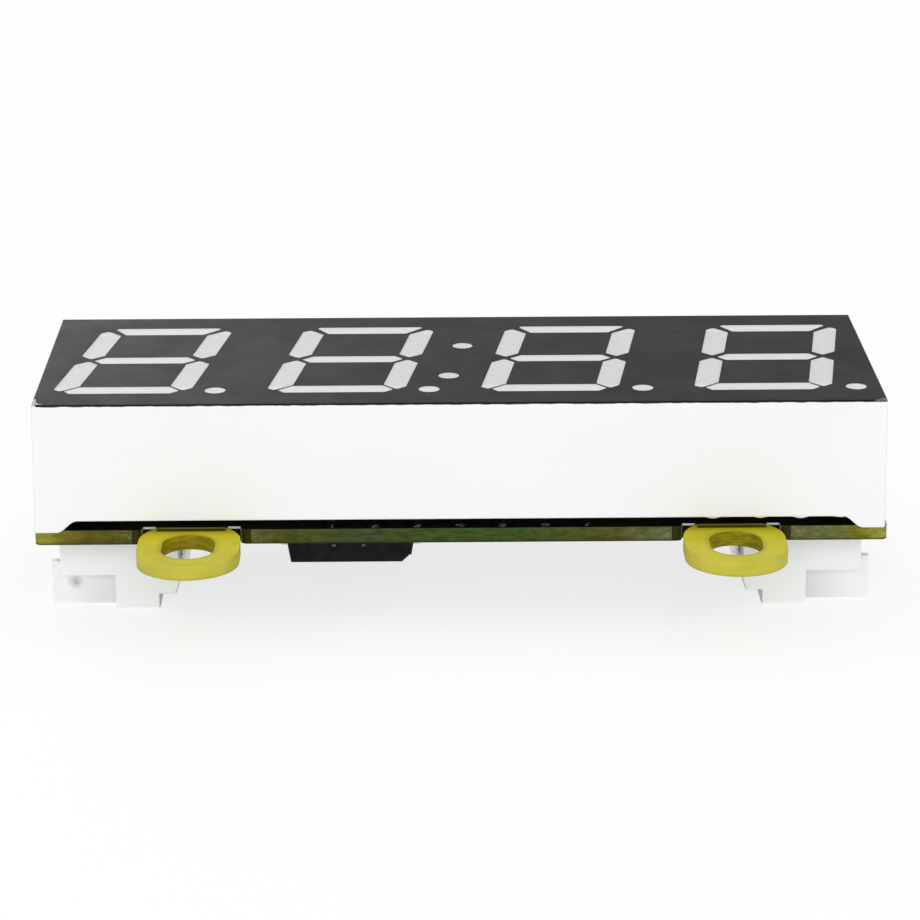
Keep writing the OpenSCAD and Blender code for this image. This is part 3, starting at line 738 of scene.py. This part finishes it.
def printed_text(text, x, y, height, below=False):
    """A number of this height, on the board's top or, turned over to read right, on its underside."""
    z = board_low.z - print_t / 2 if below else board_top + print_t / 2
    bpy.ops.object.text_add(location=(x, y, z))
    label = bpy.context.object
    label.data.body = text
    label.data.align_x = "CENTER"
    label.data.align_y = "CENTER"
    label.data.size = height / 0.7
    label.data.offset = 0.012
    label.data.resolution_u = 3
    label.data.extrude = print_t / 2
    if below:
        label.rotation_euler = (pi, 0, 0)
    bpy.ops.object.convert(target="MESH")
    close_seams(label, 0.0005)
    turn_outwards(label)
    return label


def printed_frame(x0, y0, x1, y1, line=0.15):
    """The outline of a part, printed under the board."""
    bpy.ops.mesh.primitive_plane_add(size=1, location=((x0 + x1) / 2, (y0 + y1) / 2, board_low.z))
    frame_line = bpy.context.object
    frame_line.scale = (x1 - x0, y1 - y0, 1)
    bpy.ops.object.transform_apply(location=True, rotation=True, scale=True)
    edit(frame_line)
    bpy.ops.mesh.inset(thickness=line)
    bpy.ops.mesh.delete(type="FACE")
    bpy.ops.mesh.select_all(action="SELECT")
    bpy.ops.mesh.extrude_region_move(TRANSFORM_OT_translate={"value": (0, 0, -print_t)})
    bpy.ops.object.mode_set(mode="OBJECT")
    turn_outwards(frame_line)
    return frame_line


def printed_dot(radius):
    """A pin 1 mark."""
    bpy.ops.mesh.primitive_cylinder_add(vertices=24, radius=radius, depth=print_t)
    dot = bpy.context.object
    edit_faces(dot, lambda centre, normal: normal.z < -0.9)
    bpy.ops.mesh.inset(thickness=0.05)
    bpy.ops.transform.translate(value=(0, 0, -0.004))
    bpy.ops.object.mode_set(mode="OBJECT")
    return dot


legend_ink = Finish("legend_ink", (0.72, 0.74, 0.70), IOR=1.5, Roughness=0.6)
legend_ink.mottle((0.45, 0.52, 0.44), (0.74, 0.75, 0.71), 0.18, 4.0, 0.3, 0.55)
legend_ink.relief(legend_ink.grain(0.1, 2.0), 0.004)

top_numbers = [
    printed_text(str(i + 1), display_x + (i - 3) * pin_pitch, numbers_y, numbers_h) for i in range(7)
]
shaded_ink = Finish("shaded_ink", (0.10, 0.12, 0.10), IOR=1.5, Roughness=0.6, Specular_IOR_Level=0.2)
shaded_ink.mottle((0.05, 0.07, 0.05), (0.26, 0.30, 0.25), 0.2, 4.0, 0.35, 0.6)
shaded_ink.relief(shaded_ink.grain(0.1, 2.0), 0.004)
fit(joined(top_numbers, "top_legend"), shaded_ink.material)

contact_rows = (-16.75, 16.75)
contact_pitch = 2.0
contact_number_x = 15.05
below_numbers = [
    printed_text(str(i + 1), side * contact_number_x, side * (2 - i) * contact_pitch + 0.45, 0.7, True)
    for side in (-1, 1) for i in range(5)
]
front_row_y, rear_row_y = -7.62, 7.62
front_clear, rear_clear = 1.17, 1.19       # the end pins' numbers lie this much further out
for i in (0, 6):
    end_x = (i - 3) * pin_pitch
    below_numbers.append(printed_text(str(i + 1), end_x * front_clear, front_row_y, 0.9, True))
    below_numbers.append(printed_text(str(14 - i), end_x * rear_clear, rear_row_y, 0.9, True))
outlines = [
    printed_frame(-25.0, -6.25, -15.7, 6.25),
    printed_frame(15.7, -6.25, 25.0, 6.25),
    printed_frame(0.85, 1.0, 2.35, 4.2),
    printed_frame(0.85, -4.2, 2.35, -1.0),
    printed_frame(-14.75, -1.6, -13.25, 1.6),
    printed_frame(4.0, -3.95, 7.2, -2.45),
    printed_frame(4.0, -1.95, 7.2, -0.45),
    printed_frame(8.4, -3.95, 11.6, -2.45),
    printed_frame(8.4, -1.95, 11.6, -0.45),
]
mark_places = [(x, y, board_low.z - print_t / 2) for x, y in ((-0.6, -5.9), (-16.2, 5.4), (16.2, -5.4))]
marks = copied(printed_dot(0.22), mark_places)
fit(joined(below_numbers + outlines + marks, "underside_legend"), legend_ink.material)


# --- Solder joints of the display pins ------------------------------------------------
# Under the board the molten solder climbs each cut pin and sets as a hollow-sided cone. It is
# drawn up ring by ring: the rings narrow quickly at first and then run up along the wire.

joint_low, joint_high = (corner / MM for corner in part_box("display_pin_solder"))
solder_bright = tinned("solder_bright", (0.80, 0.80, 0.79), (0.64, 0.64, 0.63), 0.14, 0.6)


def meniscus(rise, base_r, top_r):
    """Solder drawn up around a wire by surface tension, or down where rise is negative."""
    bpy.ops.mesh.primitive_circle_add(vertices=24, radius=base_r, fill_type="NGON")
    joint = bpy.context.object
    edit(joint)
    steps = 6
    angle = 0
    radius = base_r
    for i in range(1, steps + 1):
        next_angle = i / steps * pi / 2
        next_radius = top_r + (base_r - top_r) * (1 - sin(next_angle))
        climb = rise * (cos(angle) - cos(next_angle))
        bpy.ops.mesh.extrude_region_move(TRANSFORM_OT_translate={"value": (0, 0, climb)})
        narrowing = next_radius / radius
        bpy.ops.transform.resize(value=(narrowing, narrowing, 1), center_override=(0, 0, 0))
        angle, radius = next_angle, next_radius
    bpy.ops.mesh.inset(thickness=top_r * 0.45)
    bpy.ops.transform.translate(value=(0, 0, rise * 0.12))
    bpy.ops.object.mode_set(mode="OBJECT")
    turn_outwards(joint)
    return joint


joint_rise = joint_low.z - joint_high.z
joint_places = [
    (display_x + (i - 3) * pin_pitch, y, joint_high.z) for y in (front_row_y, rear_row_y) for i in range(7)
]
display_joints = copied(meniscus(joint_rise * 0.92, base_r=0.62, top_r=0.3), joint_places)
fit(joined(display_joints, "display_joints"), solder_bright, ["display_pin_solder"])


# --- Driver chip ----------------------------------------------------------------------
# A black epoxy package in two halves around a stamped lead frame. The frame's tie bars are cut
# off flush with both ends, and sixteen bent and tinned leads hold the chip to its pads.

chip_low, chip_high = (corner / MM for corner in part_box("driver_body"))
chip_mid = (chip_low + chip_high) / 2
lead_slot_x = chip_high.x - chip_mid.x - 0.25     # the leads reach this deep into the body

chip_black = Finish("chip_black", (0.012, 0.012, 0.013), IOR=1.5, Specular_IOR_Level=0.07)
chip_black.mottle((0.008, 0.008, 0.009), (0.0145, 0.0145, 0.0155), 0.9, 5.0)
chip_black.vary_gloss(0.45, 0.62, 0.4)
chip_black.relief(chip_black.grain(0.09, 3.0), 0.008)
chip_edge_r = 0.06
chip = moulded_copy("driver_body", "chip_package", chip_edge_r,
                    lambda middle: abs(abs(middle.x - chip_mid.x) - lead_slot_x) > 0.02)
fit(chip, chip_black.material, ["driver_body"])

lead_tin = tinned("lead_tin", (0.70, 0.69, 0.67), (0.50, 0.49, 0.47), 0.26, 0.3)
lead_edge_r = 0.03
fit(moulded_copy("driver_leads", "chip_leads", lead_edge_r), lead_tin, ["driver_leads"])


def tie_bar_end(outwards):
    """The sheared end of a tie bar: a small plate with a torn, rounded-over edge."""
    bpy.ops.mesh.primitive_cube_add(size=1)
    stub = bpy.context.object
    stub.scale = (0.2, 0.2, 0.14)
    bpy.ops.object.transform_apply(location=True, rotation=True, scale=True)
    edit_faces(stub, lambda centre, normal: normal.y * outwards > 0.9)
    bpy.ops.mesh.inset(thickness=0.03)
    bpy.ops.transform.translate(value=(0.01, outwards * 0.02, -0.01))
    bpy.ops.object.mode_set(mode="OBJECT")
    return stub


tie_bars = []
for end_y, outwards in ((chip_low.y, -1), (chip_high.y, 1)):
    bar_places = [(chip_mid.x + dx, end_y - outwards * 0.05, chip_mid.z) for dx in (-1.0, 0.8)]
    tie_bars += copied(tie_bar_end(outwards), bar_places)
bar_grey = Finish("bar_grey", (0.13, 0.13, 0.13), Metallic=0.4, Roughness=0.6)
bar_grey.mottle((0.07, 0.07, 0.07), (0.16, 0.16, 0.16), 0.06, 3.0, 0.35, 0.65)
fit(joined(tie_bars, "tie_bar_ends"), bar_grey.material)

lead_pitch = 1.27
foot_x = 4.72            # middle of a foot, from the chip's middle
foot_z = board_low.z - 0.04


def solder_foot(length, width, height):
    """A low mound of solder with hollow flanks, around the foot of a lead or the end of a part."""
    bpy.ops.mesh.primitive_plane_add(size=1)
    mound = bpy.context.object
    mound.scale = (length, width, 1)
    bpy.ops.object.transform_apply(location=True, rotation=True, scale=True)
    edit(mound)
    bpy.ops.mesh.bevel(offset=min(length, width) * 0.25, segments=3, affect="VERTICES")
    for shrink, lift in ((0.86, 0.22), (0.86, 0.30), (0.9, 0.48)):
        bpy.ops.mesh.extrude_region_move(TRANSFORM_OT_translate={"value": (0, 0, -height * lift)})
        bpy.ops.transform.resize(value=(shrink, shrink, 1), center_override=(0, 0, 0))
    bpy.ops.object.mode_set(mode="OBJECT")
    turn_outwards(mound)
    return mound


foot_places = [
    (chip_mid.x + side * foot_x, chip_mid.y + (i - 3.5) * lead_pitch, foot_z)
    for side in (-1, 1) for i in range(8)
]
lead_joints = copied(solder_foot(length=1.2, width=0.56, height=0.17), foot_places)


# --- Capacitors and resistors ---------------------------------------------------------
# Small ceramic blocks with dipped metal ends, reflowed onto their pads. The capacitors are fired
# tan ceramic all through; the resistors carry a black glassy coat.

ceramic = Finish("ceramic", (0.46, 0.31, 0.14), IOR=1.6, Roughness=0.4)
ceramic.mottle((0.40, 0.265, 0.115), (0.50, 0.345, 0.165), 0.2, 4.0)
ceramic.relief(ceramic.grain(0.12), 0.006)
block_edge_r = 0.05
fit(moulded_copy("capacitor_bodies", "capacitor_blocks", block_edge_r), ceramic.material,
    ["capacitor_bodies"])

glaze = Finish("resistor_glaze", (0.012, 0.012, 0.013), IOR=1.5)
pool = glaze.between(glaze.grain(0.4, 3.0), 0.3, 0.7)
glaze.drive("Base Color", glaze.paint(pool, (0.010, 0.010, 0.011), (0.020, 0.020, 0.021)))
glaze.drive("Roughness", glaze.between(pool, 0.0, 1.0, 0.18, 0.34))
glaze.relief(glaze.grain(0.3, 2.0), 0.008)
fit(moulded_copy("resistor_bodies", "resistor_blocks", block_edge_r), glaze.material,
    ["resistor_bodies"])

end_tin = tinned("end_tin", (0.76, 0.75, 0.73), (0.60, 0.59, 0.57), 0.2, 0.25)
for kind in ("capacitor", "resistor"):
    caps = moulded_copy(kind + "_ends", kind + "_caps", block_edge_r)
    fit(caps, end_tin, [kind + "_ends"])

capacitor_places = [(1.6, 2.6), (1.6, -2.6), (-14.0, 0.0)]
resistor_places = [(5.6, -3.2), (5.6, -1.2), (10.0, -3.2), (10.0, -1.2)]
cap_gap = 0.86            # from the middle of a part to the solder at its end
capacitor_joints = copied(
    solder_foot(length=0.84, width=0.5, height=0.36),
    [(x, y + side * cap_gap, foot_z) for x, y in capacitor_places for side in (-1, 1)],
)
resistor_joints = copied(
    solder_foot(length=0.5, width=0.84, height=0.26),
    [(x + side * cap_gap, y, foot_z) for x, y in resistor_places for side in (-1, 1)],
)
surface_joints = joined(lead_joints + capacitor_joints + resistor_joints, "surface_joints")
fit(surface_joints, solder_bright)


# --- Sockets at both ends -------------------------------------------------------------
# Right-angle housings in natural white nylon, open to the side, with a key groove along both
# sides of the mouth. Square tinned pins run through the rear wall and bend up into the board.

socket_side_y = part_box("left_socket")[1].y / MM
groove_depth = 0.9
pit_x, pit_z = -23.45, 1.38       # the small pit in the floor of the left socket's front groove
pit_end_y = -4.7          # the bottom of the pit lies in front of this
inner_end_x = 18.6        # the stepped inner ends lie nearer to the middle than this
end_shade_x = 19.5            # and so does their painted shade, which covers the rounded edges too

nylon_finish = white_plastic("nylon", (0.97, 0.97, 0.975), (0.955, 0.955, 0.96), 0.36)
x, y, z = nylon_finish.axes()

# The floors of the grooves are darker towards the inner end, partly duller moulding and partly painted
# shade, and one is darker around its small pit. The inner ends are painted grey in patches, as painted
# shade
from_middle = nylon_finish.maths("ABSOLUTE", x)
groove_floor = nylon_finish.maths("COMPARE", nylon_finish.maths("ABSOLUTE", y),
                                  socket_side_y - groove_depth, 0.05)
# Darker towards the inner end: partly duller moulding, partly painted shade
towards_mouth = nylon_finish.between(from_middle, 20.8, 24.4)
groove_dull_and_shade = nylon_finish.paint(towards_mouth, (0.76, 0.76, 0.765), (0.92, 0.92, 0.925))
socket_tone = nylon_finish.paint(groove_floor, nylon_finish.tone, groove_dull_and_shade)
outwards = nylon_finish.maths("MULTIPLY", nylon_finish.maths("SIGN", x), nylon_finish.facing()["X"])
inner_end = nylon_finish.both(nylon_finish.under(outwards, -0.35),
                              nylon_finish.under(from_middle, end_shade_x))
end_shade_patches = nylon_finish.between(nylon_finish.grain(1.5, 4.0), 0.3, 0.7)
painted_end_shade = nylon_finish.paint(end_shade_patches, (0.54, 0.54, 0.54), (0.68, 0.68, 0.675))
socket_tone = nylon_finish.paint(inner_end, socket_tone, painted_end_shade)
from_pit = nylon_finish.distance(nylon_finish.maths("SUBTRACT", x, pit_x),
                                 nylon_finish.maths("SUBTRACT", z, pit_z))
greyed_near_pit = nylon_finish.between(from_pit, 0.08, 0.62, 0.8, 0.0)
within_pit = nylon_finish.maths("MULTIPLY_ADD", groove_floor, 0.6, 0.4)
at_front = nylon_finish.under(y, pit_end_y)
greyed_near_pit = nylon_finish.both(greyed_near_pit, nylon_finish.both(within_pit, at_front))
nylon_finish.drive("Base Color", nylon_finish.paint(greyed_near_pit, socket_tone, (0.50, 0.50, 0.50)))
nylon = nylon_finish.material
socket_edge_r = 0.07
inner_edge_r = 0.16


def on_inner_end(middle):
    """True for the outline of a housing's inner end, on both of its sides."""
    return abs(middle.y) > socket_side_y - 0.05 and abs(middle.x) < inner_end_x


for side in ("left", "right"):
    housing = moulded_copy(side + "_socket", side + "_housing", inner_edge_r, on_inner_end, 3)
    round_edges(housing, socket_edge_r)
    fit(housing, nylon, [side + "_socket"])

contact_tin = tinned("contact_tin", (0.77, 0.75, 0.71), (0.61, 0.60, 0.56), 0.2, 0.4)
contact_edge_r = 0.04
for side in ("left", "right"):
    contacts = moulded_copy(side + "_contacts", side + "_contact_pins", contact_edge_r)
    fit(contacts, contact_tin, [side + "_contacts"])

tail_low, tail_high = (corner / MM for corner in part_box("socket_pin_solder"))
tail_rise = tail_high.z - tail_low.z
tail_places = [(x, (i - 2) * contact_pitch, tail_low.z) for x in contact_rows for i in range(5)]
tail_joints = copied(meniscus(tail_rise * 0.9, base_r=0.64, top_r=0.36), tail_places)
fit(joined(tail_joints, "socket_joints"), solder_bright, ["socket_pin_solder"])


# --- Floor, light and camera ----------------------------------------------------------
# A pale floor in an even white surround, with one large soft box in front and one behind. The
# camera stands in front of the module and a little above it.


def background_rays(tree):
    """1 for a ray that shows the background: straight, in a mirror or through a clear piece."""
    rays = tree.nodes.new("ShaderNodeLightPath")
    shown = rays.outputs["Is Camera Ray"]
    for kind in ("Is Glossy Ray", "Is Transmission Ray"):
        either = tree.nodes.new("ShaderNodeMath")
        either.operation = "MAXIMUM"
        tree.links.new(shown, either.inputs[0])
        tree.links.new(rays.outputs[kind], either.inputs[1])
        shown = either.outputs[0]
    return shown


bpy.ops.mesh.primitive_plane_add(size=4)
floor = bpy.context.object
floor.name = "floor"
paper = bpy.data.materials.new("paper")
paper.use_nodes = True
paper_nodes = paper.node_tree.nodes
paper_links = paper.node_tree.links
paper_shader = paper_nodes["Principled BSDF"]
paper_shader.inputs["Base Color"].default_value = (0.94, 0.94, 0.94, 1)
paper_shader.inputs["Roughness"].default_value = 0.9
paper_shader.inputs["Specular IOR Level"].default_value = 0.0
faded = paper_nodes.new("ShaderNodeBsdfDiffuse")
faded.inputs["Color"].default_value = (0.32, 0.32, 0.32, 1)
lift = paper_nodes.new("ShaderNodeEmission")
lift.inputs["Strength"].default_value = 0.735
both = paper_nodes.new("ShaderNodeAddShader")
chosen = paper_nodes.new("ShaderNodeMixShader")
output = paper_nodes["Material Output"]
paper_links.new(faded.outputs[0], both.inputs[0])
paper_links.new(lift.outputs[0], both.inputs[1])
paper_links.new(background_rays(paper.node_tree), chosen.inputs[0])
paper_links.new(paper_shader.outputs[0], chosen.inputs[1])
paper_links.new(both.outputs[0], chosen.inputs[2])
paper_links.new(chosen.outputs[0], output.inputs["Surface"])
floor.data.materials.append(paper)

world = bpy.data.worlds.new("studio")
bpy.context.scene.world = world
world.use_nodes = True
sky_nodes = world.node_tree.nodes
sky_links = world.node_tree.links
background = sky_nodes["Background"]
background.inputs["Color"].default_value = (1, 1, 1, 1)
strength = sky_nodes.new("ShaderNodeMapRange")
strength.inputs["To Min"].default_value = 0.68
strength.inputs["To Max"].default_value = 1.0
sky_links.new(background_rays(world.node_tree), strength.inputs["Value"])
sky_links.new(strength.outputs[0], background.inputs["Strength"])


def soft_lamp(name, place, size, power):
    """A square soft box that faces the module."""
    bpy.ops.object.light_add(type="AREA", location=place)
    lamp = bpy.context.object
    lamp.name = name
    lamp.data.size = size
    lamp.data.energy = power
    bpy.ops.object.empty_add(location=(0, 0, 0.008))
    target = bpy.context.object
    target.name = name + "_aim"
    follow = lamp.constraints.new("TRACK_TO")
    follow.target = target
    follow.track_axis = "TRACK_NEGATIVE_Z"
    follow.up_axis = "UP_Y"
    return lamp


soft_lamp("front_box", (-0.06, -1.09, 0.36), 0.8, 5.15)
soft_lamp("left_box", (-0.37, 1.15, 0.36), 0.6, 2.1)

bpy.ops.object.camera_add(
    location=(-0.00233, -0.19593, 0.07068),
    rotation=(radians(72.085), radians(0.164), radians(-0.741)),
)
camera = bpy.context.object
camera.data.sensor_width = 36
camera.data.lens = 130.26
camera.data.clip_start = 0.01
bpy.context.scene.camera = camera
bpy.context.scene.view_settings.view_transform = "Standard"
